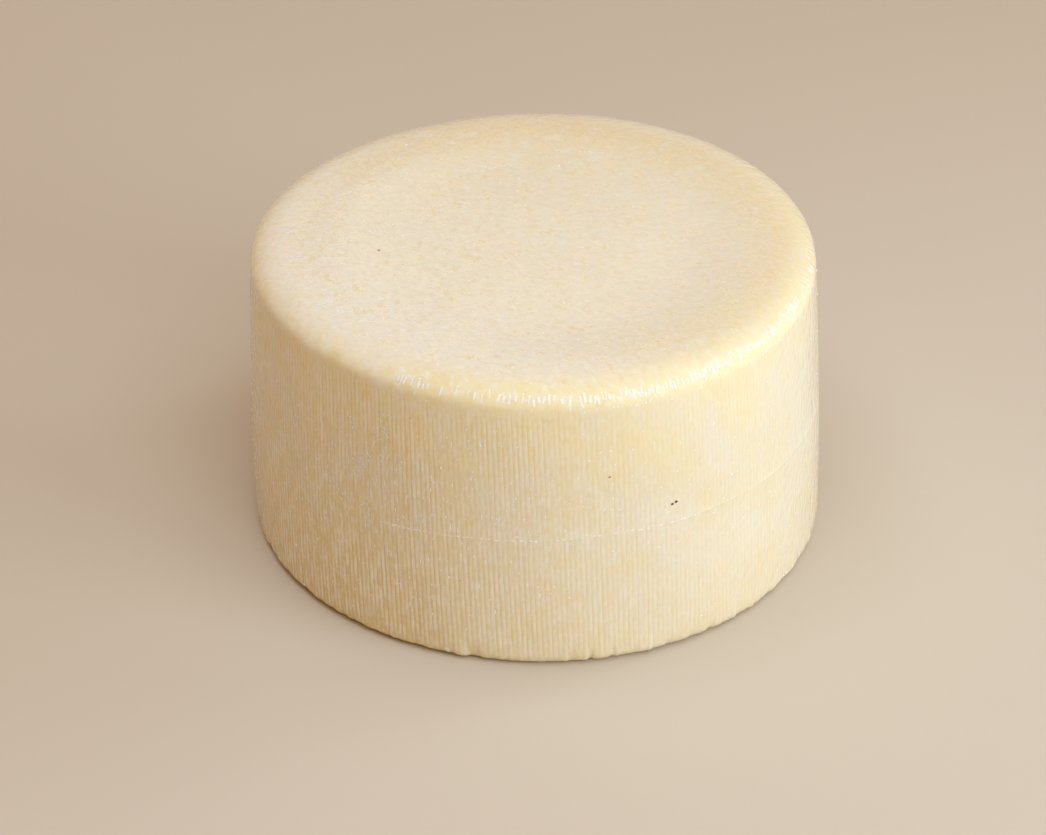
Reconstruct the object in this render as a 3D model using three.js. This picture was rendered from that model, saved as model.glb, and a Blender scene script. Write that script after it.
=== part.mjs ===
// A whole, uncut wheel of semi-cured cheese of about two kilos, as it comes out of a ribbed mould.
// Millimetres, +Z up. The wheel rests on its flat underside at Z = 0.
import * as THREE from 'three';

// ---------------------------------------------------------------- the wheel's outline
const wheelHeight = 88;
const topRadius = 80; // of the wall, just under the shoulder
const footRadius = 82.9; // of the wall, just above the lower edge
const belly = 0.7; // how far the wall swells halfway up
const shoulderWidth = 13; // of the rounded upper edge, measured inwards
const shoulderDrop = 5.8; // of the rounded upper edge, measured down
const shoulderFullness = 2.5; // 2 is a plain ellipse, more is a tighter corner
const edgeRadius = 3.6; // of the lower edge

// ---------------------------------------------------------------- the sunken top face
const dishDepth = 1.7; // of the middle below the crest
const dishShare = 0.78; // the dish reaches its depth at this share of the crest's radius

// ---------------------------------------------------------------- the marks of the mould
const ribCount = 368; // fine upright ribs, about 1.4 mm apart
const ribDepth = 0.2;
const ribLean = 2; // degrees that a rib turns round the wheel on its way down
const ribStart = 4.6; // height at which the ribs have their full depth
const ribFade = 16; // the ribs die out over this height below the shoulder
const seamShare = 0.487; // the seam's height as a share of the wheel's
const seamLedge = 0.25; // the wall below the seam stands out by this much
const seamHeight = 0.6; // of the ledge itself

// ---------------------------------------------------------------- how far it is from a true round
const topLean = new THREE.Vector2(-1.1, 0); // the top sits this far off the foot
const topWaves = [
  { lobes: 2, share: 0.0014, turn: 77 },
  { lobes: 3, share: 0.012, turn: 49 },
];
const footWaves = [
  { lobes: 2, share: 0.001, turn: -6 },
  { lobes: 3, share: 0.0042, turn: -45 },
];

// ---------------------------------------------------------------- how finely it is divided
const columnsPerRib = 2; // one on the crest and one in the groove
const fineColumns = ribCount * columnsPerRib;
const coarseColumns = fineColumns / 8; // for the smooth parts
const edgeSteps = 3;
const shoulderSteps = 5;
const topSteps = 4;

const wallTop = wheelHeight - shoulderDrop;
const crestRadius = topRadius - shoulderWidth;
const seamZ = wheelHeight * seamShare;

// A cosine ramp from 0 to 1 between two values.
function ramp(from, to, value) {
  const share = THREE.MathUtils.clamp((value - from) / (to - from), 0, 1);
  return 0.5 - 0.5 * Math.cos(Math.PI * share);
}

// The wall's radius at a height: it widens to the foot, swells a little and steps out below the seam.
function wallRadius(z) {
  const down = (wallTop - z) / (wallTop - edgeRadius);
  const straight = THREE.MathUtils.lerp(topRadius, footRadius, down);
  const swelling = 4 * belly * down * (1 - down);
  const ledge = seamLedge * (1 - ramp(seamZ, seamZ + seamHeight, z));
  return straight + swelling + ledge;
}

// How far a turn through lobed waves takes the rim from a true circle, as a share of its radius.
function waveShare(waves, angle) {
  let sum = 0;
  for (const { lobes, share, turn } of waves) {
    sum += share * Math.cos(lobes * (angle - THREE.MathUtils.degToRad(turn)));
  }
  return sum;
}

// One point of the wheel, from its radius on the true round, its height and its angle.
function place(radius, z, angle) {
  const up = z / wheelHeight;
  const unevenness = THREE.MathUtils.lerp(waveShare(footWaves, angle), waveShare(topWaves, angle), up);
  const r = radius * (1 + unevenness);
  return [r * Math.cos(angle) + topLean.x * up, r * Math.sin(angle) + topLean.y * up, z];
}

// A ring is a radius and a height, and ribbed rings have every second column cut back.
function ring(radius, z, columns, grooveDepth = 0) {
  const lean = THREE.MathUtils.degToRad(ribLean) * (1 - z / wheelHeight);
  const points = [];
  for (let column = 0; column < columns; column++) {
    const angle = lean + (2 * Math.PI * column) / columns;
    const groove = column % columnsPerRib === 0 ? 0 : grooveDepth;
    points.push(place(radius - groove, z, angle));
  }
  return points;
}

// The rings of the rounded lower edge, from the flat underside up to the wall.
function edgeRings() {
  const rings = [];
  for (let step = 0; step < edgeSteps; step++) {
    const angle = (Math.PI / 2) * (step / edgeSteps);
    const radius = wallRadius(edgeRadius) - edgeRadius * (1 - Math.sin(angle));
    rings.push(ring(radius, edgeRadius * (1 - Math.cos(angle)), coarseColumns));
  }
  return rings;
}

// The ribbed wall: full ribs from just above the edge, fading away below the shoulder.
function wallRings() {
  const fadeStart = wallTop - ribFade;
  const heights = [ribStart, seamZ, seamZ + seamHeight, fadeStart, wallTop];
  return heights.map((z) => {
    const depth = ribDepth * (1 - ramp(fadeStart, wallTop, z));
    return ring(wallRadius(z), z, fineColumns, depth);
  });
}

// The rounded shoulder, a quarter of a superellipse from the wall in to the crest.
function shoulderRings() {
  const rings = [];
  const power = 2 / shoulderFullness;
  for (let step = 1; step <= shoulderSteps; step++) {
    const angle = (Math.PI / 2) * (step / shoulderSteps);
    const radius = crestRadius + shoulderWidth * Math.max(Math.cos(angle), 0) ** power;
    rings.push(ring(radius, wallTop + shoulderDrop * Math.sin(angle) ** power, coarseColumns));
  }
  return rings;
}

// The top face inside the crest, sinking gently to its flat middle.
function topRings() {
  const rings = [];
  for (let step = 1; step <= topSteps; step++) {
    const inward = step / topSteps;
    const radius = THREE.MathUtils.lerp(crestRadius, crestRadius * dishShare, inward);
    rings.push(ring(radius, wheelHeight - dishDepth * ramp(0, 1, inward), coarseColumns));
  }
  return rings;
}

// Joins two rings, the lower first, where one may have a whole number of times the other's columns.
function band(indices, low, high) {
  const steps = Math.max(low.count, high.count);
  for (let step = 0; step < steps; step++) {
    const lowHere = Math.floor((step * low.count) / steps);
    const highHere = Math.floor((step * high.count) / steps);
    const lowNext = Math.floor(((step + 1) * low.count) / steps);
    const highNext = Math.floor(((step + 1) * high.count) / steps);
    const a = low.first + lowHere;
    const b = low.first + (lowNext % low.count);
    const c = high.first + (highNext % high.count);
    const d = high.first + highHere;
    if (lowNext > lowHere) indices.push(a, b, c);
    if (highNext > highHere) indices.push(a, c, d);
  }
}

// Closes the end ring with a fan round a middle point, facing up or down.
function cap(indices, end, middle, facesUp) {
  for (let column = 0; column < end.count; column++) {
    const here = end.first + column;
    const next = end.first + ((column + 1) % end.count);
    if (facesUp) indices.push(here, next, middle);
    else indices.push(next, here, middle);
  }
}

function wheelGeometry() {
  const rings = [...edgeRings(), ...wallRings(), ...shoulderRings(), ...topRings()];
  const positions = [];
  const spans = [];
  for (const points of rings) {
    spans.push({ first: positions.length / 3, count: points.length });
    for (const point of points) positions.push(...point);
  }
  const indices = [];
  for (let row = 1; row < spans.length; row++) band(indices, spans[row - 1], spans[row]);

  const underside = positions.length / 3;
  positions.push(...place(0, 0, 0));
  positions.push(...place(0, wheelHeight - dishDepth, 0));
  cap(indices, spans[0], underside, false);
  cap(indices, spans[spans.length - 1], underside + 1, true);

  const geometry = new THREE.BufferGeometry();
  geometry.setAttribute('position', new THREE.Float32BufferAttribute(positions, 3));
  geometry.setIndex(indices);
  geometry.computeBoundingBox();
  const centre = geometry.boundingBox.getCenter(new THREE.Vector3());
  geometry.translate(-centre.x, -centre.y, 0);
  geometry.computeVertexNormals();
  return geometry;
}

// A pale ivory rind with a faint waxy gloss.
const rind = new THREE.MeshStandardMaterial({ color: '#ece0c2', roughness: 0.45, metalness: 0 });

const wheel = new THREE.Mesh(wheelGeometry(), rind);
wheel.name = 'cheese_wheel';

const cheese = new THREE.Group();
cheese.add(wheel);

export default cheese;
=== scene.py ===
# %% [markdown]
# # A wheel of semi-cured cheese
# A whole wheel, as it comes out of a ribbed mould: an ivory rind with a waxy look, fine upright
# ribs round the wall, a rounded shoulder and a top face that has sunk a little. Its height and
# its place set the wheel's.

# %% Load the frame
import math
from types import SimpleNamespace
import bpy
import numpy as np
from mathutils import Matrix, Vector
from mathutils.bvhtree import BVHTree


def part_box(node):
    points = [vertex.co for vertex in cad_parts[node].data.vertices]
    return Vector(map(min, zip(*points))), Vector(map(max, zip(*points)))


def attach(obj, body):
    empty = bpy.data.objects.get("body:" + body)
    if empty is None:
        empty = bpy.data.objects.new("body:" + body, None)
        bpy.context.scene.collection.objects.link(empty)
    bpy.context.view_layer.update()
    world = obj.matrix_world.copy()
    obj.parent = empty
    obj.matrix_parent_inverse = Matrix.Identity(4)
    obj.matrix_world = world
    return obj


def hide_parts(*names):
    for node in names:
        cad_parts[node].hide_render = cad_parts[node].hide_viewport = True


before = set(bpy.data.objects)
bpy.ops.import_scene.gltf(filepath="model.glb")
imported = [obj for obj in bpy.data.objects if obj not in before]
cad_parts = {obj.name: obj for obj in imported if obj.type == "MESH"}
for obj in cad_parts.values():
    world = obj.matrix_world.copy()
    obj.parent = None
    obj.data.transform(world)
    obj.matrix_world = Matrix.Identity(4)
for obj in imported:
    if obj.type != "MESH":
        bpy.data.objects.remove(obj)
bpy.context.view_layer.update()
low_corner, high_corner = [Vector(corner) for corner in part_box("cheese_wheel")]
wheel_height = high_corner.z - low_corner.z
print("wheel", [round(side * 1000, 1) for side in high_corner - low_corner], "mm")

# %% [markdown]
# ## The wheel's measures
# These are the sizes that the mould gives the wheel. The height comes from the solid, and the
# others follow the same plan: a wall that widens to the foot, a shoulder like a quarter of a
# superellipse, a rounded lower edge and a shallow dish in the top.

# %% Measures
mm = 0.001
top_radius = 80 * mm
foot_radius = 82.9 * mm
belly = 0.7 * mm
shoulder_width = 13 * mm
shoulder_drop = 5.8 * mm
shoulder_fullness = 2.5
edge_radius = 3.6 * mm
dish_depth = 1.7 * mm
dish_share = 0.78
wall_top = wheel_height - shoulder_drop
crest_radius = top_radius - shoulder_width
seam_height = 0.487 * wheel_height
seam_ledge = 0.08 * mm
seam_rise = 0.6 * mm
top_lean = Vector((-1.1 * mm, 0))
top_waves = [(2, 0.0014, 77), (3, 0.012, 49)]
foot_waves = [(2, 0.001, -6), (3, 0.0042, -45)]
print("wall", round(wall_top / mm, 1), "mm, seam", round(seam_height / mm, 1), "mm up")

# %% [markdown]
# ## The section
# A round thing is best drawn as half of its section and then spun. The section is a list of radii
# and heights, from the middle of the underside, round the lower edge, up the wall, over the
# shoulder and in across the dish. The rows lie closer where the shape turns quickly and at the
# seam.

# %% The section's points
edge_steps = 6
wall_rows = 30
shoulder_steps = 12
dish_steps = 6
underside_share = 0.85  # of the foot's radius, where the underside has one more point
seam_rows = [seam_height + share * seam_rise for share in (-0.6, 0, 0.35, 0.7, 1)]
row_gap = 0.8 * mm  # the wall's other rows keep this far from those of the seam
flat_shares = (0.69, 0.6, 0.5, 0.35, 0.2, 0)  # of the crest's radius, in the middle of the dish


def ramp(start, end, value):
    """A smooth ramp from 0 at the start to 1 at the end."""
    share = np.clip((value - start) / (end - start), 0, 1)
    return 0.5 - 0.5 * np.cos(np.pi * share)


def wall_radius(z):
    """The wall's radius at a height: wider to the foot, slightly bellied, with the seam's ledge."""
    down = (wall_top - z) / (wall_top - edge_radius)
    straight = top_radius + (foot_radius - top_radius) * down
    ledge = seam_ledge * (1 - ramp(seam_height, seam_height + seam_rise, z))
    return straight + 4 * belly * down * (1 - down) + ledge


def section_points():
    """The half section as (radius, height) points, from the underside up and in to the middle."""
    foot = wall_radius(edge_radius) - edge_radius
    points = [(0, 0), (underside_share * foot, 0)]
    for turn in np.linspace(0, math.pi / 2, edge_steps + 1):
        points.append((foot + edge_radius * math.sin(turn), edge_radius * (1 - math.cos(turn))))
    heights = [z for z in np.linspace(edge_radius, wall_top, wall_rows)
               if min(abs(z - row) for row in seam_rows) > row_gap]
    points += [(wall_radius(z), z) for z in sorted(heights + seam_rows)[1:]]
    power = 2 / shoulder_fullness
    for turn in np.linspace(0, math.pi / 2, shoulder_steps + 1)[1:]:
        points.append((crest_radius + shoulder_width * max(math.cos(turn), 0) ** power,
                       wall_top + shoulder_drop * math.sin(turn) ** power))
    for share in np.linspace(0, 1, dish_steps + 1)[1:]:
        radius = crest_radius * (1 - (1 - dish_share) * share)
        points.append((radius, wheel_height - dish_depth * ramp(0, 1, share)))
    return points + [(share * crest_radius, wheel_height - dish_depth) for share in flat_shares]


section = section_points()
print(len(section), "points in the section")

# %% [markdown]
# ## Spinning the wheel
# The section is drawn as a person would do it: one vertex is set on the axis, then extruded from
# each point to the next. Spin turns the line through an eighth of a turn, with four columns for
# each rib of the mould, so that a rib has a crest, a groove and two flanks. A second spin copies
# that wedge seven times round. It is far quicker than one long spin. The doubles on the axis and
# where the wedges meet are merged, and the normals are turned outwards.

# %% Draw the section and spin it
rib_count = 368
columns_per_rib = 4
wedges = 8
column_count = rib_count * columns_per_rib
merge_distance = 0.002 * mm


def draw_and_spin(name, points):
    """A closed round body from a line of (radius, height) points."""
    bpy.ops.object.select_all(action="DESELECT")
    bpy.ops.mesh.primitive_plane_add(size=mm)
    body = bpy.context.object
    body.name = name
    bpy.ops.object.mode_set(mode="EDIT")
    bpy.ops.mesh.select_all(action="SELECT")
    bpy.ops.mesh.merge(type="CENTER")
    for (here, low), (there, high) in zip(points, points[1:]):
        step = Vector((there - here, 0, high - low))
        bpy.ops.mesh.extrude_region_move(TRANSFORM_OT_translate={"value": step})
    wedge = 2 * math.pi / wedges
    for steps, angle, copies in ((column_count // wedges, wedge, False),
                                 (wedges - 1, wedge * (wedges - 1), True)):
        bpy.ops.mesh.select_all(action="SELECT")
        bpy.ops.mesh.spin(steps=steps, angle=angle, dupli=copies, center=(0, 0, 0), axis=(0, 0, 1))
    bpy.ops.mesh.select_all(action="SELECT")
    bpy.ops.mesh.remove_doubles(threshold=merge_distance)
    bpy.ops.mesh.normals_make_consistent(inside=False)
    bpy.ops.object.mode_set(mode="OBJECT")
    bpy.ops.object.shade_smooth()
    return body


wheel = draw_and_spin("rind", section)
print(len(wheel.data.vertices), "vertices,", 2 * len(wheel.data.polygons), "triangles at most")

# %% [markdown]
# ## Uneven, as a real wheel is
# The spun body is a perfect round. A real wheel leans a little, its rim isn't a true circle and
# its faces have soft lumps. These are smooth changes to every vertex at once, so they are done in
# code with arrays, which is far quicker than moving points by hand. Waves with a whole number of
# lobes close by themselves when they come round, so no seam shows at the back.

# %% Helpers for uneven shapes
quarter_degrees = 4 * 360
probe_rows = 60  # heights at which the wheel's reach is measured


def read_points(body):
    flat = np.empty(3 * len(body.data.vertices))
    body.data.vertices.foreach_get("co", flat)
    return flat.reshape(-1, 3)


def write_points(body, points):
    body.data.vertices.foreach_set("co", points.ravel())
    body.data.update()


def rolling(angle, height, lobes, tallest, seed, count=14):
    """Soft random waves between about -1 and 1, over the angle round the wheel and the height."""
    draw = np.random.default_rng(seed)
    total = np.zeros_like(angle + height)
    for _ in range(count):
        around = draw.integers(lobes[0], lobes[1] + 1)
        upward = draw.uniform(-1, 1) * 2 * math.pi / tallest
        start = draw.uniform(0, 2 * math.pi)
        total += np.cos(around * angle + upward * height + start)
    return total / math.sqrt(2 * count)


def lumps(x, y, smallest, largest, seed, count=24):
    """Soft random waves between about -1 and 1 over a flat face."""
    draw = np.random.default_rng(seed)
    total = np.zeros_like(x)
    for _ in range(count):
        way, size = draw.uniform(0, math.pi), draw.uniform(smallest, largest)
        along = x * math.cos(way) + y * math.sin(way)
        total += np.cos(2 * math.pi * along / size + draw.uniform(0, 2 * math.pi))
    return total / math.sqrt(2 * count)


def lobed(waves, angle):
    """How far the lobes take the rim from a true circle, as a share of its radius."""
    return sum(share * np.cos(lobes * (angle - math.radians(turn)))
               for lobes, share, turn in waves)


def place(radius, z, angle):
    """Where a point of the true round lies on the real wheel, which leans and isn't quite round."""
    share_up = z / wheel_height
    unevenness = lobed(foot_waves, angle) * (1 - share_up) + lobed(top_waves, angle) * share_up
    real = radius * (1 + unevenness)
    return np.stack([real * np.cos(angle) + top_lean.x * share_up,
                     real * np.sin(angle) + top_lean.y * share_up, z + 0 * angle], axis=-1)


def widest_middle():
    """The middle of the plain wheel's box, which the solid has at X = 0 and Y = 0."""
    angle = np.linspace(0, 2 * math.pi, quarter_degrees + 1)
    heights = np.linspace(edge_radius, wall_top, probe_rows)
    rings = np.concatenate([place(wall_radius(z), z, angle) for z in heights])
    middle = 0.5 * (rings.min(axis=0) + rings.max(axis=0))
    return np.array([middle[0], middle[1], 0])


off_centre = widest_middle()
top_middle = Vector((top_lean.x, top_lean.y, 0)) - Vector(off_centre)
print("middle of the top at", [round(c / mm, 2) for c in top_middle], "mm")

# %% [markdown]
# ## The marks of the mould
# The wall carries about 370 fine upright ribs, pressed in by the mould. No two are quite alike:
# each has its own depth, they come and go in patches, fade towards the shoulder and stop just
# above the lower edge. The columns of the mesh are pushed together and apart a little, so that
# the ribs are unevenly spaced while each keeps its own four columns. A thin broken seam wanders
# round the wall, perhaps where two parts of the mould met. The lower edge is nicked, and the top
# has sunk less on the left. The height of the rib is also stored on the mesh, for the finish to
# read.

# %% The measures of the marks
rib_depth = 0.1 * mm
rib_lean = math.radians(2)
rib_section = np.array([1, 0.45, -1, 0.45])  # a rib's four columns: crest, flank, groove, flank
rib_top = 85 * mm  # the ribs have died out at this height
rib_full = 79 * mm  # and have their full depth up to this one
rib_stagger = 1.5  # mm that a rib may end higher or lower than its neighbours
seam_bead = 0.14 * mm
seam_pull = 16 * mm  # the skin drifts up and down with the seam over this height
front = -math.pi / 2
half_up = 0.5 * wheel_height

# The chips as degrees round from the front, half their width in degrees and their depth in mm,
# which is below 0 where something stands out.
foot_chips = [(-14.2, 1.1, 0.55), (-17.2, 0.9, -0.4), (8.6, 0.4, 0.4), (13, 0.5, 0.35),
              (20.4, 0.4, -0.5), (24.4, 0.6, 0.5), (33.8, 0.7, 0.4), (39.8, 0.5, -0.4),
              (-41, 0.5, 0.3), (95, 0.8, 0.5), (140, 0.6, 0.4), (-120, 0.8, 0.5),
              (175, 0.6, -0.4), (-160, 1.0, 0.5)]


# %% Shape the ribs, the seam and the uneven faces
def round_places(points):
    """Radius, height, whole column and angle of each point of the true round."""
    radius = np.hypot(points[:, 0], points[:, 1])
    angle = np.arctan2(points[:, 1], points[:, 0])
    column = np.round(angle / (2 * math.pi) * column_count).astype(int) % column_count
    return radius, points[:, 2], column, angle


def from_front(angle):
    """Degrees round from the front, between -180 and 180."""
    return np.degrees((angle - front + math.pi) % (2 * math.pi) - math.pi)


def rib_strength(radius, z, column, angle):
    """How deep each rib is here, as a share of the full depth."""
    draw = np.random.default_rng(5)
    which = column // columns_per_rib
    own = draw.uniform(0.65, 1.2, rib_count)[which]
    own = own + 0.3 * rolling(angle, z, (90, 180), 14 * mm, 12, 40)
    patches = 0.85 + 0.3 * rolling(angle, z, (3, 20), 40 * mm, 11)
    foot_fade = ramp(1.8 * mm, 5 * mm, z)
    upper_fade = 1 - 0.4 * ramp(18 * mm, 48 * mm, z)
    stagger = draw.uniform(-rib_stagger, rib_stagger, rib_count)[which] * mm
    x, y = radius * np.cos(angle), radius * np.sin(angle)
    left_or_back = np.maximum(ramp(60 * mm, -50 * mm, x), ramp(-5 * mm, 40 * mm, y))
    lower_end = 1.5 * mm * left_or_back
    under_shoulder = ramp(rib_top, rib_full, z + stagger + lower_end) * (radius > crest_radius)
    return np.clip(own * patches * foot_fade * upper_fade, 0, 1.5) * under_shoulder


def ragged_foot(angle, column):
    """How far the lower edge stands out or is nicked: rib by rib, and at a few larger chips."""
    draw = np.random.default_rng(8)
    tips = np.interp(np.arange(column_count) / columns_per_rib, np.arange(rib_count),
                     draw.normal(0, 1, rib_count), period=rib_count)
    out = 0.11 * mm * tips[column] + 0.12 * mm * rolling(angle, 0 * angle, (12, 90), 1, 51)
    for turn, half_width, depth in foot_chips:
        away = (angle - front - math.radians(turn) + math.pi) % (2 * math.pi) - math.pi
        outer, inner = 1.6 * math.radians(half_width), 0.6 * math.radians(half_width)
        out -= depth * mm * ramp(outer, inner, np.abs(away))
    return out


def seam_reach(turn):
    """How clearly the seam shows: best at the front, and again for a stretch at the back."""
    at_front = ramp(-34, -20, turn) * ramp(82, 57, turn)
    return at_front + 0.7 * ramp(60, 30, np.abs(np.abs(turn - 7) - 180))


def seam_drift(turn):
    """How far above or below its mean height the seam runs."""
    places = [-180, -70, -31, -14, 0, 8, 35, 51, 64, 120, 180]
    heights = [-0.6, -1.5, -2.9, -1.1, -0.2, 0.6, 0.6, 0, -0.1, -0.8, -0.6]
    return np.interp(turn, places, heights) * mm


def seam_outward(z, column, angle, turn):
    """A thin bead along the seam, broken into drops and strongest at the right of the front."""
    beads = np.random.default_rng(9).uniform(-0.5, 1, column_count)[column]
    beads = np.clip(beads + 0.5 * rolling(angle, 0 * z, (2, 30), 1, 21), 0, 1)
    at_seam = np.exp(-((z - seam_height) / (0.5 * seam_rise)) ** 2)
    return seam_bead * at_seam * (0.35 + 0.65 * ramp(20, 50, turn)) * beads * seam_reach(turn)


def top_upward(radius, z, angle):
    """How far the top lies above the section's dish: softer, lumpy and less sunk on the left."""
    x, y = radius * np.cos(angle), radius * np.sin(angle)
    dish = ramp(crest_radius, dish_share * crest_radius, radius)
    filled = 0.5 * dish_depth * dish * ramp(10 * mm, -60 * mm, x)
    filled += dish_depth * (dish - ramp(crest_radius, 0.6 * crest_radius, radius))
    uneven = 0.16 * mm * lumps(x, y, 30 * mm, 80 * mm, 41)
    uneven = uneven + 0.03 * mm * lumps(x, y, 5 * mm, 14 * mm, 42)
    on_top = ramp(0, 6 * mm, top_radius - radius) * (z > half_up)
    return filled * (z > half_up) + on_top * uneven


def shape_wheel(body):
    radius, z, column, angle = round_places(read_points(body))
    turn = from_front(angle)
    strength = rib_strength(radius, z, column, angle)
    rib = rib_section[column % columns_per_rib]
    on_wall = ramp(edge_radius, 2 * edge_radius, z) * ramp(crest_radius, top_radius, radius)

    outward = 0.5 * rib_depth * strength * rib + on_wall * seam_outward(z, column, angle, turn)
    outward += on_wall * (0.14 * mm * rolling(angle, z, (4, 16), 45 * mm, 31)
                          + 0.035 * mm * rolling(angle, z, (30, 110), 8 * mm, 32, 30))
    by_foot = ramp(5 * mm, 2.4 * mm, z) * ramp(0.6 * foot_radius, 0.95 * foot_radius, radius)
    outward += by_foot * ragged_foot(angle, column)

    by_seam = np.exp(-((z - seam_height) / seam_pull) ** 2) * (radius > foot_radius - 8 * mm)
    upward = top_upward(radius, z, angle) + seam_drift(turn) * by_seam

    spacing = (1.5 * np.sin(2 * angle + 0.6) + 0.6 * np.sin(5 * angle)
               + 0.25 * np.sin(11 * angle + 2))
    turned = angle + rib_lean * (1 - z / wheel_height) + spacing / rib_count
    shaped = place(radius + outward, z + upward, turned) - off_centre
    write_points(body, shaped)
    store_rib_height(body, rib * np.clip(strength, 0, 1))


def store_rib_height(body, values):
    layer = body.data.attributes.new("rib_height", "FLOAT", "POINT")
    layer.data.foreach_set("value", values.astype(np.float32))


shape_wheel(wheel)
print("shaped", [round(c / mm, 1) for c in wheel.dimensions], "mm")

# %% [markdown]
# The shaped wheel stands for the plain solid, rides on the part's one body and takes its finish
# from the rind slot. The solid stays in the model for its collision and its mass.

# %% Place the wheel in the frame
def belongs(piece):
    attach(piece, "root")


belongs(wheel)
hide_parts("cheese_wheel")
print(wheel.name, "replaces the plain solid")

# %% [markdown]
# ## A kit for finishes
# Each finish is a small graph of nodes. These helpers add a node, join what is a socket and set
# what is a value, so that a finish reads as a recipe. Patterns read Object coordinates, in
# metres, or what is stored on the mesh, so they stay on the piece from every side.

# %% The finish kit
class Finish:
    """A material whose nodes are added one by one."""

    def __init__(self, name):
        self.material = bpy.data.materials.new(name)
        self.material.use_nodes = True
        self.tree = self.material.node_tree
        self.shader = self.tree.nodes["Principled BSDF"]
        self.place = self.add("ShaderNodeTexCoord").outputs["Object"]

    def add(self, kind, *inputs, **settings):
        node = self.tree.nodes.new(kind)
        for name, value in settings.items():
            setattr(node, name, value)
        for socket, value in zip(node.inputs, inputs):
            self.feed(socket, value)
        return node

    def feed(self, socket, value):
        if isinstance(value, bpy.types.NodeSocket):
            self.tree.links.new(value, socket)
        elif value is not None:
            socket.default_value = value

    def maths(self, operation, *values):
        return self.add("ShaderNodeMath", *values, operation=operation).outputs[0]

    def times(self, first, *others):
        """The product of any number of values."""
        for other in others:
            first = self.maths("MULTIPLY", first, other)
        return first

    def line(self, value, slope, start):
        """The start plus the slope times the value."""
        return self.maths("MULTIPLY_ADD", value, slope, start)

    def rise(self, value, start, end):
        """0 before the start, 1 past the end, and smooth between."""
        node = self.add("ShaderNodeMapRange", value, start, end, interpolation_type="SMOOTHSTEP")
        return node.outputs[0]

    def blend(self, share, low, high):
        node = self.add("ShaderNodeMix", data_type="RGBA")
        for index, value in ((0, share), (6, low), (7, high)):
            self.feed(node.inputs[index], value)
        return node.outputs[2]

    def lay(self, base, tone, *shares):
        """A tone laid over the base, as strongly as the product of the shares."""
        return self.blend(self.times(*shares), base, tone)

    def cloud(self, size, detail=2, stretch=(1, 1, 1), roughness=0.5, where=None):
        """Soft noise between about 0 and 1, with lumps of a size in metres."""
        node = self.add("ShaderNodeTexNoise")
        spread = self.add("ShaderNodeMapping", where or self.place)
        spread.inputs["Scale"].default_value = [1 / (size * axis) for axis in stretch]
        self.feed(node.inputs["Vector"], spread.outputs[0])
        for name, value in (("Scale", 1), ("Detail", detail), ("Roughness", roughness)):
            node.inputs[name].default_value = value
        return node.outputs[0]

    def set(self, **values):
        """Values that are the same all over go straight on the shader's own sockets."""
        for name, value in values.items():
            self.feed(self.shader.inputs[name.replace("_", " ")], value)


def colour(red, green, blue):
    """A colour as seen on screen, 0 to 255, as the linear values that nodes take."""
    shares = [v / 255 for v in (red, green, blue)]
    return [v / 12.92 if v <= 0.04045 else ((v + 0.055) / 1.055) ** 2.4 for v in shares] + [1]


print("finish kit ready")

# %% [markdown]
# ## The rind
# The rind is ivory, with a whitish bloom over the top, soft yellow patches in a ring inside the
# shoulder, partly painted shade on the right, a lemon band on the shoulder itself, partly a painted
# glow under its highlight, and warm lines in the grooves between the ribs, partly painted shade
# that is strongest on the left. Painted shade also darkens the back of the top and the foot, most
# at the left, and painted light makes the left of the shoulder paler. Under the skin light spreads
# a little, as in any cheese, so the shader's subsurface is used. The skin is waxy, so a thin coat
# gives a soft but clear gloss.

# %% The rind's colours
ivory = colour(237, 230, 207)
butter = colour(236, 225, 187)
butter_deep = colour(239, 222, 168)
honey = colour(235, 218, 170)
bloom_and_painted_light = colour(241, 238, 225)
whey = colour(250, 246, 232)
golden = colour(229, 211, 157)
lemon = colour(249, 238, 190)
shade = colour(224, 211, 181)
bronze = colour(206, 180, 122)
apricot = colour(242, 212, 138)
grain_way = math.radians(28)
cloth_way = math.radians(18)
cloth_pitch = 2.1 * mm
cloth_middle = (-53 * mm, -16 * mm)


def cloth_print(rind, x, y):
    """Faint straight lines that the cloth has left on one part of the top."""
    across = rind.line(y, math.sin(cloth_way), rind.times(x, math.cos(cloth_way)))
    swing = rind.times(rind.cloud(9 * mm, 0), 5.0)
    wave = rind.maths("SINE", rind.line(across, 2 * math.pi / cloth_pitch, swing))
    away = rind.add("ShaderNodeVectorMath", rind.place, (*cloth_middle, wheel_height),
                    operation="DISTANCE")
    inside = rind.rise(away.outputs["Value"], 22 * mm, 12 * mm)
    return rind.times(rind.rise(wave, 0.3, 0.95), inside)


def skin_places(rind):
    """The parts of the skin that get their own colours, painted shade or painted light, each as a
    share from 0 to 1.
    """
    x, y, z = rind.add("ShaderNodeSeparateXYZ", rind.place).outputs
    flat = rind.add("ShaderNodeCombineXYZ", x, y, 0.0).outputs[0]
    radius = rind.add("ShaderNodeVectorMath", flat, operation="LENGTH").outputs["Value"]
    at = SimpleNamespace(x=x, y=y, z=z, radius=radius)
    at.top = rind.rise(z, 80 * mm, 84 * mm)
    at.inner = rind.times(rind.rise(radius, 77 * mm, 66 * mm), at.top)
    at.rim = rind.times(at.top, rind.rise(radius, 64 * mm, 74 * mm))
    at.leftward = rind.rise(rind.line(y, 0.5, x), 55 * mm, -70 * mm)
    at.rightward = rind.maths("SUBTRACT", 1.0, at.leftward)
    at.far_left = rind.rise(x, -8 * mm, -62 * mm)
    at.rim_left = rind.rise(x, -20 * mm, -62 * mm)
    at.near_left = rind.rise(rind.line(x, 0.5, y), -35 * mm, -66 * mm)
    at.shaded = rind.rise(x, 60 * mm, -50 * mm)
    at.back = rind.rise(y, 5 * mm, 80 * mm)
    at.patches = rind.rise(rind.cloud(17 * mm, 1), 0.3, 0.75)
    at.patchy_height = rind.line(at.patches, 16 * mm, z)
    return at


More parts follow.
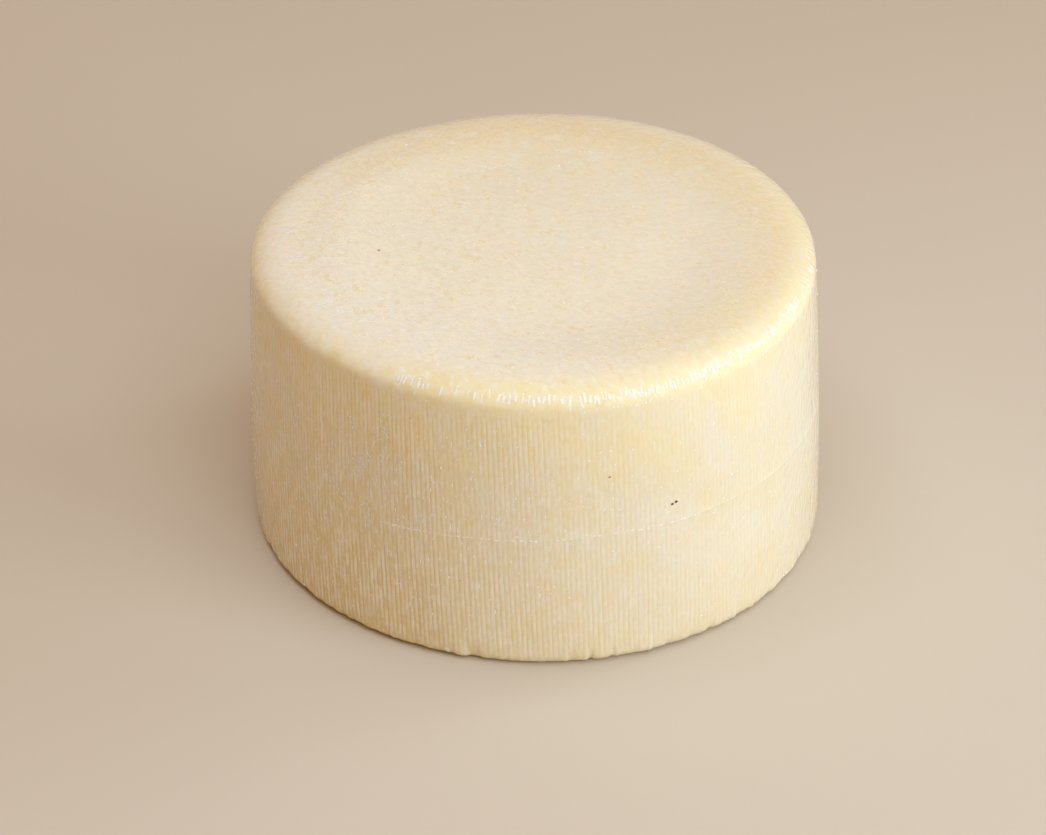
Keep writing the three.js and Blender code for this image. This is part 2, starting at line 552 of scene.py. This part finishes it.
def skin_grain(rind, at):
    """The clouds that make the skin's grain, from the widest wisps to the finest streaks."""
    turned = rind.add("ShaderNodeMapping", rind.place, None, (0, 0, -grain_way)).outputs[0]
    turn = rind.maths("ARCTAN2", at.x, rind.times(at.y, -1.0))
    unrolled = rind.add("ShaderNodeCombineXYZ", rind.times(turn, top_radius), at.radius, at.z)
    return SimpleNamespace(
        wrinkles=rind.cloud(0.9 * mm, 0, (1, 1, 2.2)),
        dimples=rind.cloud(2.2 * mm, 0, (1, 1, 1.5)),
        wisps=rind.cloud(4.5 * mm, 3, (1.3, 1.2, 1.3), 0.65, turned),
        fine=rind.cloud(1.7 * mm, 2, (1, 1.5, 1.2), 0.6, turned),
        streaks=rind.cloud(1.2 * mm, 1, (1, 5, 5), 0.6, unrolled.outputs[0]))


def broad_colours(rind, at, grain):
    """The ivory ground, the shoulder's band, the ring inside it, the foot and the pale middle, with
    painted shade at the foot, the lower left and the back of the top, partly in the ring, and
    painted light on the left of the shoulder and partly in its band.
    """
    base = rind.lay(ivory, butter, at.patches, 0.6)
    base = rind.lay(base, lemon, at.rim, rind.line(at.rim_left, -0.45, 0.5))
    # Painted light: the left of the shoulder is made paler, where the lamps leave it dim.
    base = rind.lay(base, bloom_and_painted_light, at.rim, at.rim_left)
    base = rind.lay(base, bloom_and_painted_light, at.rim, at.back)
    # Partly painted shade: the honey ring on the dish's inner slope is laid mostly at the right,
    # where that slope faces away from the window.
    base = rind.lay(base, honey, rind.rise(at.radius, 46 * mm, 64 * mm),
                    rind.rise(at.radius, 76 * mm, 66 * mm), at.top, at.rightward, 0.65)
    # Partly painted light: the lemon band reaches down under the shoulder as a glow below its
    # highlight, where the lamps leave the wall dim.
    collar = rind.times(rind.rise(at.patchy_height, 64 * mm, 90 * mm),
                        rind.rise(at.z, 88.6 * mm, 84 * mm))
    base = rind.lay(base, lemon, collar, rind.line(at.leftward, 0.2, 0.35))
    # Painted shade: the foot is warmer and darker, most at the left, for the shade and the warm
    # bounce light near the floor, and the lower wall at the far left is darker and more golden.
    base = rind.lay(base, honey, rind.rise(at.z, 36 * mm, -4 * mm),
                    rind.line(at.far_left, 0.5, 0.35))
    base = rind.lay(base, golden, at.far_left, rind.rise(at.z, 74 * mm, 10 * mm), 0.85)
    base = rind.lay(base, bloom_and_painted_light, rind.rise(at.radius, 76 * mm, 50 * mm), at.top,
                    rind.line(at.back, -0.6, 1.0),
                    rind.line(rind.rise(grain.wisps, 0.2, 0.8), 0.7, 0.25))
    # Painted shade: the back of the top is darker, where the light falls off.
    base = rind.lay(base, shade, at.inner, 0.45, at.back)
    return rind.lay(base, bloom_and_painted_light, at.inner, 0.8, at.near_left)


def mottled_colours(rind, at, grain, base):
    """Buttery and whitish wisps, and on the top a grain, winding lines and the cloth's print."""
    mottle = rind.maths("MAXIMUM", at.inner, rind.line(at.shaded, 0.55, 0.35))
    base = rind.lay(base, butter_deep, mottle, 0.5, rind.rise(grain.wisps, 0.48, 0.68))
    base = rind.lay(base, bloom_and_painted_light, mottle, 0.6, rind.rise(grain.wisps, 0.48, 0.34))
    grainy = rind.times(at.top, rind.line(at.rightward, -0.5, 1.0), rind.line(at.back, -0.5, 1.0))
    base = rind.lay(base, whey, grainy, 0.7, rind.rise(grain.fine, 0.52, 0.7))
    base = rind.lay(base, golden, grainy, 0.3, rind.rise(grain.fine, 0.46, 0.28))
    off_line = rind.maths("ABSOLUTE", rind.maths("SUBTRACT", grain.fine, 0.5))
    base = rind.lay(base, whey, rind.rise(off_line, 0.05, 0.01), rind.rise(grain.wisps, 0.42, 0.6),
                    rind.line(at.rightward, -0.45, 1.0), rind.line(at.back, -0.6, 1.0), at.inner)
    return rind.lay(base, whey, cloth_print(rind, at.x, at.y), rind.rise(grain.fine, 0.3, 0.55),
                    0.35)


def ribbed_colours(rind, at, grain, base):
    """Pits, warm grooves that are partly painted shade, strongest on the left, an apricot tone
    under the shoulder, whitened crests and white dashes.
    """
    pitted = rind.times(rind.maths("SUBTRACT", 1.0, at.top), rind.line(at.shaded, 0.2, 0.12))
    base = rind.lay(base, whey, pitted, rind.rise(grain.wrinkles, 0.52, 0.7))
    base = rind.lay(base, golden, pitted, rind.rise(grain.wrinkles, 0.48, 0.3))
    rib = rind.add("ShaderNodeAttribute", attribute_name="rib_height").outputs["Fac"]
    # Partly painted shade: the grooves are golden, and bronze at the far left, more strongly on the
    # side in shade.
    grooves = rind.times(rind.rise(rib, 0.1, -1.0), rind.line(at.shaded, 0.58, 0.4))
    base = rind.lay(base, golden, grooves)
    base = rind.lay(base, bronze, at.far_left, 0.45, grooves)
    upper = rind.times(rind.rise(at.patchy_height, 52 * mm, 80 * mm),
                       rind.rise(at.z, 86 * mm, 81 * mm), rind.line(at.leftward, 0.45, 0.1))
    base = rind.lay(base, apricot, upper, rind.line(grooves, 0.8, 0.12))
    whitened = rind.line(at.far_left, 0.5, rind.line(at.shaded, 0.35, 0.1))
    base = rind.lay(base, whey, rind.rise(rib, -0.1, 0.7), rind.rise(grain.streaks, 0.38, 0.6),
                    whitened)
    return rind.lay(base, whey, rind.rise(grain.streaks, 0.6, 0.76),
                    rind.rise(at.z, 80 * mm, 70 * mm), rind.line(at.far_left, 0.55, 0.03))


# %% The rind's finish
def rind_finish():
    rind = Finish("rind")
    at = skin_places(rind)
    grain = skin_grain(rind, at)
    tint = mottled_colours(rind, at, grain, broad_colours(rind, at, grain))
    tint = ribbed_colours(rind, at, grain, tint)
    rind.set(Base_Color=tint, Roughness=rind.line(grain.wrinkles, 0.2, 0.38))
    rind.set(Subsurface_Weight=0.35, Subsurface_Radius=(1.0, 0.62, 0.34), Subsurface_Scale=2.5 * mm)
    rind.set(IOR=1.45, Specular_IOR_Level=0.3, Coat_Weight=0.9, Coat_Roughness=0.07)
    height = rind.line(grain.dimples, 0.8, rind.times(grain.wrinkles, 0.4))
    bump = rind.add("ShaderNodeBump")
    rind.feed(bump.inputs["Height"], height)
    bump.inputs["Distance"].default_value = 0.26 * mm
    bump.inputs["Strength"].default_value = 1.0
    rind.set(Coat_Normal=bump.outputs[0])
    return rind.material


wheel.data.materials.append(rind_finish())
print("rind finish on", wheel.name)

# %% [markdown]
# ## What clings to the skin
# A young rind carries small things that stand on it: white flakes of dried whey, low wrinkles on
# the top, crumbs at the foot, a small ring and a few specks. Short white ridges across the shoulder
# are a painted highlight, the broken glint of the waxy shoulder, and the white flakes along the
# seam are partly painted sparkle. One flake is modelled, and everything here is made of copies of
# it, stretched and laid on the skin. To find the skin under a place, a ray is sent at a tree of the
# wheel's faces. It gives the point that it meets and the way the skin faces there.

# %% The skin under a place
skin = BVHTree.FromObject(wheel, bpy.context.evaluated_depsgraph_get())
chance = np.random.default_rng(2024)
outside = 0.2  # metres from the wheel's middle, where the rays start
upright_below = 79  # mm; up to here the wall is taken as upright


def on_wall(turn, z):
    """A point of the wall and its outward direction, from degrees off the front and mm up."""
    way = Vector((math.sin(math.radians(turn)), -math.cos(math.radians(turn)), 0))
    spot, facing, _, _ = skin.ray_cast(way * outside + Vector((0, 0, z * mm)), -way)
    return spot, way if z < upright_below else facing


def on_top(x, y):
    """A point of the top and its upward direction, from mm right and mm back of the middle."""
    spot, facing, _, _ = skin.ray_cast(Vector((x * mm, y * mm, outside)), Vector((0, 0, -1)))
    return spot, facing


def heading(facing, lean):
    """A direction in the skin: 0 degrees is level on the wall, 90 is straight up."""
    level = Vector((0, 0, 1)).cross(facing)
    level = level.normalized() if level.length > 0.2 else Vector((1, 0, 0))
    return Matrix.Rotation(math.radians(lean), 3, facing) @ level


print("front of the wall at", [round(c / mm, 1) for c in on_wall(0, 44)[0]], "mm")

# %% Model one flake
flake_cut = 0.6  # a ball of radius 1 is cut at this height, and the cap is kept
flake_drop = 0.62  # then it is moved down, so that its rim lies just under the skin
flake_stretch = (1.25, 1.25, 2.5)  # and brought to a radius and a height of about 1


def take_shape(body):
    """The points and faces of a modelled piece, which is then removed."""
    shape = read_points(body), [tuple(face.vertices) for face in body.data.polygons]
    bpy.data.objects.remove(body)
    return shape


def model_flake():
    """A low, blunt dome that is open below, because it lies on the skin."""
    bpy.ops.object.select_all(action="DESELECT")
    bpy.ops.mesh.primitive_ico_sphere_add(subdivisions=1, radius=1)
    body = bpy.context.object
    bpy.ops.object.mode_set(mode="EDIT")
    bpy.ops.mesh.select_all(action="SELECT")
    bpy.ops.mesh.bisect(plane_co=(0, 0, flake_cut), plane_no=(0, 0, 1), clear_inner=True)
    bpy.ops.mesh.select_all(action="SELECT")
    bpy.ops.transform.translate(value=(0, 0, -flake_drop))
    bpy.ops.transform.resize(value=flake_stretch, center_override=(0, 0, 0))
    bpy.ops.object.mode_set(mode="OBJECT")
    return take_shape(body)


flake = model_flake()
print("a flake has", len(flake[1]), "faces")

# %% Copy them over the skin
crumple = 0.18  # how unevenly each copy is stretched


def lay_flake(spot, facing, lean, length, width, height):
    """One copy of the flake, stretched and pressed onto the skin."""
    ahead = heading(facing, lean)
    side = facing.cross(ahead)
    points = flake[0] * (1 + crumple * chance.normal(0, 1, flake[0].shape))
    axes = np.array([ahead * length / 2, side * width / 2, facing * height])
    return points @ axes + np.array(spot), flake[1]


def gather(name, copies, finish):
    """Joins many small copies into one piece."""
    points, faces, count = [], [], 0
    for shape, sides in copies:
        faces += [tuple(corner + count for corner in side) for side in sides]
        points.append(shape)
        count += len(shape)
    mesh = bpy.data.meshes.new(name)
    mesh.from_pydata(np.concatenate(points).tolist(), [], faces)
    mesh.shade_smooth()
    mesh.materials.append(finish)
    piece = bpy.data.objects.new(name, mesh)
    bpy.context.collection.objects.link(piece)
    belongs(piece)
    print(name, len(copies), "copies,", len(faces), "faces")


# %% Finishes of what clings
speck_grain = 2 * mm


def speck_finish(name, low, high, roughness):
    """Dull, in a tone that wavers between two colours."""
    finish = Finish(name)
    tone = finish.blend(finish.cloud(speck_grain, 2), colour(*low), colour(*high))
    finish.set(Base_Color=tone, Roughness=roughness, Specular_IOR_Level=0.1)
    return finish.material


def whey_and_glint_finish():
    """White, with painted light: bluer on the left, against the warm room light there, and a little
    creamier on the side that faces the cool window.
    """
    finish = Finish("whey_white_and_glints")
    x = finish.add("ShaderNodeSeparateXYZ", finish.place).outputs[0]
    cream = finish.blend(finish.cloud(speck_grain, 2), colour(250, 247, 234),
                         colour(254, 252, 243))
    # Painted light: the white is tinted against the colour of the light on each side.
    by_window = finish.rise(x, -60 * mm, 50 * mm)
    finish.set(Base_Color=finish.blend(by_window, colour(250, 252, 255), cream),
               Roughness=0.4, Coat_Weight=0.3, Coat_Roughness=0.15)
    return finish.material


amber = speck_finish("amber_speck", (196, 118, 34), (158, 84, 20), 0.6)
umber = speck_finish("umber_speck", (52, 26, 10), (30, 14, 6), 0.9)
whey_white_and_glints = whey_and_glint_finish()
print(whey_white_and_glints.name, amber.name, umber.name)

# %% Where the white things lie
least_flake = 0.12 * mm
glint_ridge_height = 85.7  # mm; the white ridges that paint the shoulder's glint lie round this height
glint_ridge_stretches = [(10, 1.2, 0.2), (66, 0.85, 0.04), (90, 0.85, 0.5)]  # end, pitch, share missing
first_glint_ridge = -29.0
vein_gap = 0.6  # mm between the flakes of a wrinkle

# Degrees round from the front and mm up.
broad_scrape = [(-28.6, 75.5), (-32.8, 63.4), (-36.4, 53.5), (-39, 48.7)]
thin_scrapes = [[(-39, 46.4), (-37, 42.7), (-33.4, 38.4), (-28.9, 30.1), (-24.7, 22),
                 (-21.7, 15.7)],
                [(1.5, 63.7), (4, 55.8), (7.3, 53.7), (12.4, 51.7), (16, 50.8)],
                [(-75.9, 62), (-70.3, 72.3), (-65.7, 78.6)], [(-18.1, 52.5), (-15.3, 52)],
                [(0.6, 25), (2.8, 25.3)], [(34.6, 9.6), (37.2, 10.4)],
                [(120, 60), (132, 40), (138, 34)], [(-150, 30), (-141, 52)]]

# The same, and then the size in mm.
big_flakes = [(11.8, 69.9, 0.8), (13.8, 69.9, 0.8), (8.5, 76, 0.5), (22.2, 70, 0.6),
              (18, 69.4, 0.7), (-9.7, 73.5, 0.45), (-3.7, 72.1, 0.45), (14.4, 37.8, 0.5),
              (2.4, 39.7, 0.45), (7.6, 62.5, 0.5), (-7, 62, 0.4), (-12.7, 55, 0.4),
              (150, 50, 0.8), (-100, 66, 0.7), (100, 30, 0.6)]

# The same, and then how many crumbs lie there.
foot_crumbs = [(-17.2, 2.6, 0.7, 9), (40, 2.2, 0.6, 3), (58.5, 2.6, 0.7, 4), (-69.3, 3.1, 0.8, 3),
               (-53.1, 3.1, 0.8, 4), (-24.5, 14, 0.5, 2), (87.4, 80.1, 0.9, 1),
               (87.1, 72.4, 0.8, 1), (130, 3, 0.7, 4), (-150, 3, 0.6, 3)]

# The two ends of each wrinkle on the top, as mm right and mm back of the middle.
top_veins = [((-55, -48), (-41, -40)), ((-58, -43), (-47, -38)), ((-63, -35), (-54, -33)),
             ((-66, -29), (-60, -27)), ((-50, -52), (-45, -50)), ((-70, -14), (-64, -12)),
             ((-72, -6), (-67, -5)), ((-70, -21), (-62, -18)), ((-60, 22), (-50, 27)),
             ((-24, 2), (-16, -2)), ((-30, -14), (-20, -18)), ((-12, -30), (-5, -36)),
             ((36, -24), (43, -22)), ((30, 30), (40, 36)), ((-20, 40), (-8, 44)),
             ((10, 52), (20, 50))]
print(len(big_flakes), "big flakes,", len(thin_scrapes) + 1, "scrapes,", len(top_veins), "wrinkles")


# %% How the white things are strewn
def random_flakes(count):
    """Small flakes all over the wall, more long thin ones at its left and faint ones on the top."""
    copies = []
    for _ in range(count):
        spot, facing = on_wall(chance.uniform(-180, 180), chance.triangular(2, 60, 84))
        size = chance.gamma(3, 0.09) * mm + least_flake
        length = size * chance.uniform(0.8, 2.2)
        height = (0.3 if spot.x < -20 * mm else 0.1) * size
        copies.append(lay_flake(spot, facing, 90, length, size, height))
    for _ in range(count // 3):
        spot, facing = on_wall(chance.triangular(-110, -50, 5), chance.triangular(5, 50, 78))
        length, width = chance.uniform(0.8, 3.5) * mm, chance.uniform(0.25, 0.5) * mm
        copies.append(lay_flake(spot, facing, 90, length, width, least_flake))
    for _ in range(count // 4):
        reach, way = 76 * math.sqrt(chance.uniform(0, 1)), chance.uniform(0, 2 * math.pi)
        spot, facing = on_top(reach * math.cos(way), reach * math.sin(way))
        size = chance.gamma(3, 0.07) * mm + least_flake
        lean = chance.uniform(0, 180)
        copies.append(lay_flake(spot, facing, lean, 1.6 * size, size, 0.1 * size))
    return copies


def flakes_along(places, gap, size, scatter, tall=0.05):
    """Flakes strewn along a line of places on the wall, as where something has scraped it; along
    the seam they are partly painted sparkle.
    """
    copies = []
    for (turn1, z1), (turn2, z2) in zip(places, places[1:]):
        run, climb = math.radians(turn2 - turn1) * foot_radius / mm, z2 - z1
        way, lean = math.hypot(run, climb), math.degrees(math.atan2(climb, run))
        for share in np.arange(0, 1, gap / way):
            share += chance.uniform(-0.4, 0.4) * gap / way
            if chance.uniform() < 0.3:
                continue
            turn = turn1 + share * (turn2 - turn1) + chance.normal(0, scatter)
            spot, facing = on_wall(turn, z1 + share * climb + chance.normal(0, 0.7 * scatter))
            length = size * chance.uniform(0.5, 1.6) * mm
            aslant = lean + chance.normal(0, 20)
            copies.append(lay_flake(spot, facing, aslant, length, 0.4 * length, tall * length))
    return copies


def along_seam(start, end):
    """Places every six degrees along the seam."""
    return [(turn, float(seam_height + seam_drift(turn)) / mm) for turn in range(start, end + 1, 6)]


def crumbs(places):
    """Little heaps of crumbs at the foot and standing out at the side."""
    copies = []
    for turn, z, size, count in places:
        scatter = 1 if count > 1 else 0
        for _ in range(count):
            spot, facing = on_wall(turn + chance.normal(0, 0.45 * scatter),
                                   z + chance.normal(0, 0.5 * scatter))
            width = size * chance.uniform(0.6, 1.3) * mm
            lean = chance.uniform(0, 180)
            copies.append(lay_flake(spot, facing, lean, 1.2 * width, width, 0.3 * width))
    return copies


def crater(turn, z, width, count=14):
    """A small ring of dried whey."""
    copies = []
    for share in np.linspace(0, 2 * math.pi, count, endpoint=False):
        aside = 0.5 * width * math.cos(share) * mm / foot_radius
        spot, facing = on_wall(turn + math.degrees(aside), z + 0.5 * width * math.sin(share))
        lean = math.degrees(share) + 90
        copies.append(lay_flake(spot, facing, lean, 0.5 * mm, 0.3 * mm, 0.05 * mm))
    return copies


def edge_veins(count):
    """Short wrinkles near the left edge of the top, most of them nearly level."""
    lines = []
    for _ in range(count):
        reach, way = chance.uniform(56, 73), math.radians(chance.uniform(170, 238))
        x, y, long = reach * math.cos(way), reach * math.sin(way), chance.uniform(1.5, 7)
        lean = math.radians(chance.normal(12, 16))
        lines.append(((x, y), (x + long * math.cos(lean), y + long * math.sin(lean))))
    return lines


def veins(lines):
    """White wrinkles on the top, each a row of long low flakes between two places."""
    copies = []
    for (x1, y1), (x2, y2) in lines:
        length = math.hypot(x2 - x1, y2 - y1)
        lean = math.degrees(math.atan2(y2 - y1, x2 - x1))
        side = math.radians(lean + 90)
        sway, slow = chance.uniform(0, 2 * math.pi), chance.uniform(0.25, 0.6)
        for along in np.arange(0, length, vein_gap):
            if chance.uniform() < 0.3:
                continue
            drift = 0.5 * math.sin(slow * along + sway)
            spot, facing = on_top(x1 + (x2 - x1) * along / length + drift * math.cos(side),
                                  y1 + (y2 - y1) * along / length + drift * math.sin(side))
            long, wide = chance.uniform(0.5, 1.3) * mm, chance.uniform(0.25, 0.6) * mm
            aslant = lean + chance.normal(0, 25)
            copies.append(lay_flake(spot, facing, aslant, long, wide, 0.04 * mm))
    return copies


def painted_shoulder_glints():
    """Short white ridges across the shoulder, in heaps of a few flakes each: a painted highlight,
    the broken glint along the shoulder.
    """
    copies, turn = [], first_glint_ridge
    while turn < glint_ridge_stretches[-1][0]:
        pitch, missing = next(rest for end, *rest in glint_ridge_stretches if turn < end)
        turn += pitch * chance.uniform(0.5, 1.3)
        count, width = chance.integers(2, 5), chance.uniform(0.65, 1.3) * mm
        up, tilt = chance.normal(0, 0.3), chance.normal(0, 8)
        if chance.uniform() < missing:
            continue
        for step in range(count):
            along = 0.75 * (step - 0.5 * count + 0.5)
            aside = 0.7 * along * math.sin(math.radians(tilt))
            spot, facing = on_wall(turn - aside, glint_ridge_height + up + 0.57 * along)
            wide = width * chance.uniform(0.7, 1.1)
            copies.append(lay_flake(spot, facing, 90 + tilt, 1.2 * mm, wide, 0.08 * width))
        if chance.uniform() < 0.35:
            aside = chance.uniform(-0.6, 0.6)
            spot, facing = on_wall(turn + aside, glint_ridge_height - chance.uniform(1.2, 3.6))
            long, wide = 1.1 * width, 0.8 * width
            copies.append(lay_flake(spot, facing, 90 + 2 * tilt, long, wide, 0.08 * width))
    return copies


# %% Strew them over the skin
# Painted highlight: the ridges on the shoulder stand for its broken glint.
copies = random_flakes(1500) + painted_shoulder_glints() + crumbs(foot_crumbs) + crater(-36.45, 16.5, 1.5)
copies += veins(top_veins + edge_veins(60))
copies += flakes_along(broad_scrape, 0.45, 0.9, 0.5, 0.15)
# Partly painted sparkle: white flakes where the seam's ledge catches the light.
copies += flakes_along(along_seam(-31, 45), 1.2, 1.25, 0.12, 0.2)
copies += flakes_along(along_seam(45, 66), 0.8, 0.5, 0.04)
copies += flakes_along(along_seam(126, 174), 1.4, 0.8, 0.1)
for scrape in thin_scrapes:
    copies += flakes_along(scrape, 0.7, 0.7, 0.12, 0.12)
for turn, z, size in big_flakes:
    sides = [share * size * mm for share in (1.8, 1.2, 0.2)]
    copies.append(lay_flake(*on_wall(turn, z), chance.uniform(0, 180), *sides))
gather("white_flakes_and_glints", copies, whey_white_and_glints)

# %% Small dark specks, some with a paler rim
# Degrees round from the front and mm up, or mm right and mm back on the top. Then the width of the
# rim and that of the dark heart, in mm.
wall_specks = [(26.1, 49.2, 0.9, 0.8), (26.9, 49.6, 0.8, 1.0), (13.6, 61.9, 0.8, 0),
               (-24.6, 75.7, 0.3, 0.3), (-27.9, 19.6, 0.25, 0.3), (-16.5, 19.6, 0.25, 0.3),
               (-2.4, 22.4, 0.25, 0.2), (-14.5, 27.3, 0.2, 0.3), (118, 55, 0.4, 0.4),
               (-95, 30, 0.35, 0.3), (170, 66, 0.4, 0), (-140, 22, 0.3, 0.3)]
top_specks = [(-44.8, -6.1, 1.0, 0), (-41.8, -8.9, 0.25, 0.3), (-37.7, -13.1, 0.25, 0.3),
              (22, 41, 0.3, 0.2)]
rims, hearts = [], []
for find, specks in ((on_wall, wall_specks), (on_top, top_specks)):
    for across, up, rim, heart in specks:
        spot, facing = find(across, up)
        height = rim * mm
        if heart < 0.3 or rim > 0.35:
            rims.append(lay_flake(spot, facing, 30, 1.4 * rim * mm, 1.2 * rim * mm, 0.05 * height))
        if heart:
            hearts.append(lay_flake(spot, facing, 60, 1.3 * heart * mm, 1.1 * heart * mm,
                                    0.1 * height))
gather("amber_specks", rims, amber)
gather("umber_specks", hearts, umber)

# %% [markdown]
# ## Floor and light
# The floor is plain and pale. The light is a soft studio set like daylight: a low window at the
# right is the strongest, one hangs overhead, and weaker ones fill in from the front, the sides
# and the back. Their wide shapes would lie as a glow on the waxy shoulder, so they light the
# wheel but aren't mirrored in it. Two narrow bars are mirrored, and they draw the bright line
# along the shoulder. The room adds a dim warm light of its own, and behind everything the camera
# sees a plain backdrop.

# %% Floor
floor_size = 6
floor_grain = 0.4
bpy.ops.object.select_all(action="DESELECT")
bpy.ops.mesh.primitive_plane_add(size=floor_size)
floor = bpy.context.object
floor.name = "floor"
floor_finish = Finish("pale_floor")
floor_tone = floor_finish.blend(floor_finish.cloud(floor_grain, 2), colour(206, 196, 180),
                                colour(212, 202, 187))
floor_finish.set(Base_Color=floor_tone, Roughness=0.8)
floor.data.materials.append(floor_finish.material)
print("floor", floor.dimensions.x, "m")

# %% Lights
daylight = (0.73, 0.857, 0.98)
light_distance = 1.0


def softbox(name, around, rise, width, height, power, mirrored=False):
    """A soft area light that faces the wheel; the angles are in degrees, around from the front."""
    light = bpy.data.lights.new(name, "AREA")
    light.shape = "RECTANGLE"
    light.size, light.size_y = width, height
    light.energy = power
    light.color = daylight
    holder = bpy.data.objects.new(name, light)
    bpy.context.collection.objects.link(holder)
    a, b = math.radians(around), math.radians(rise)
    way = Vector((math.sin(a) * math.cos(b), -math.cos(a) * math.cos(b), math.sin(b)))
    holder.location = way * light_distance + Vector((0, 0, half_up))
    holder.rotation_euler = way.to_track_quat("Z", "Y").to_euler()
    holder.visible_glossy = mirrored


softbox("window", 20, 45, 0.5, 0.5, 2.1)
softbox("low_window", 60, 15, 0.5, 0.5, 5.95)
softbox("side_fill", 108, 30, 0.5, 0.5, 1.5)
softbox("back_window", -150, 15, 0.5, 0.5, 1.2)
softbox("left_fill", -95, 74, 0.5, 0.5, 1.6)
softbox("overhead", 8, 76, 0.9, 0.9, 3.75)
softbox("overhead_bar", 8, 76, 0.6, 0.1, 0.4, mirrored=True)
softbox("side_bar", 112, 44, 0.12, 0.6, 0.5, mirrored=True)

# %% The room and the backdrop
room_tint = (1.0, 0.49, 0.06, 1)
room_strength = 0.36
backdrop_tint = (0.60, 0.50, 0.40, 1)

world = bpy.data.worlds.new("studio")
bpy.context.scene.world = world
world.use_nodes = True
nodes, link = world.node_tree.nodes, world.node_tree.links.new
room = nodes["Background"]
room.inputs["Color"].default_value = room_tint
room.inputs["Strength"].default_value = room_strength
backdrop = nodes.new("ShaderNodeBackground")
backdrop.inputs["Color"].default_value = backdrop_tint
seen = nodes.new("ShaderNodeMixShader")
rays = nodes.new("ShaderNodeLightPath")
link(rays.outputs["Is Camera Ray"], seen.inputs[0])
link(room.outputs[0], seen.inputs[1])
link(backdrop.outputs[0], seen.inputs[2])
link(seen.outputs[0], nodes["World Output"].inputs["Surface"])
bpy.context.scene.view_settings.view_transform = "Standard"
print("world", world.name)

# %% [markdown]
# ## The camera
# The wheel is seen from the front and a little above, with a long lens that keeps its walls
# nearly upright. The camera stands on a ray from the middle of the wheel and is then turned by a
# small pan, tilt and roll, which set the wheel a little above the middle of the picture.

# %% Camera
def set_camera(lens, distance, rise, pan, tilt, roll, height):
    back = Vector((0, -math.cos(rise), math.sin(rise)))
    right = Vector((1, 0, 0))
    tilted = Matrix.Rotation(-tilt, 3, "X") @ Matrix.Rotation(pan, 3, "Y")
    turn = Matrix.Rotation(roll, 3, "Z") @ tilted
    facing = (turn @ Matrix((right, back.cross(right), back))).transposed()
    middle = Vector((top_middle.x, top_middle.y, height))
    camera = bpy.data.cameras.new("camera")
    camera.lens = lens
    camera.sensor_width = 36
    camera.clip_start = 0.01
    holder = bpy.data.objects.new("camera", camera)
    bpy.context.collection.objects.link(holder)
    holder.matrix_world = Matrix.Translation(middle + distance * back) @ facing.to_4x4()
    bpy.context.scene.camera = holder
    return holder


camera = set_camera(lens=103.25, distance=869.9 * mm, rise=math.radians(33.106),
                    pan=math.radians(-0.2225), tilt=math.radians(-0.9419),
                    roll=math.radians(-0.3685), height=44.2 * mm)
print("camera at", [round(c, 3) for c in camera.location])
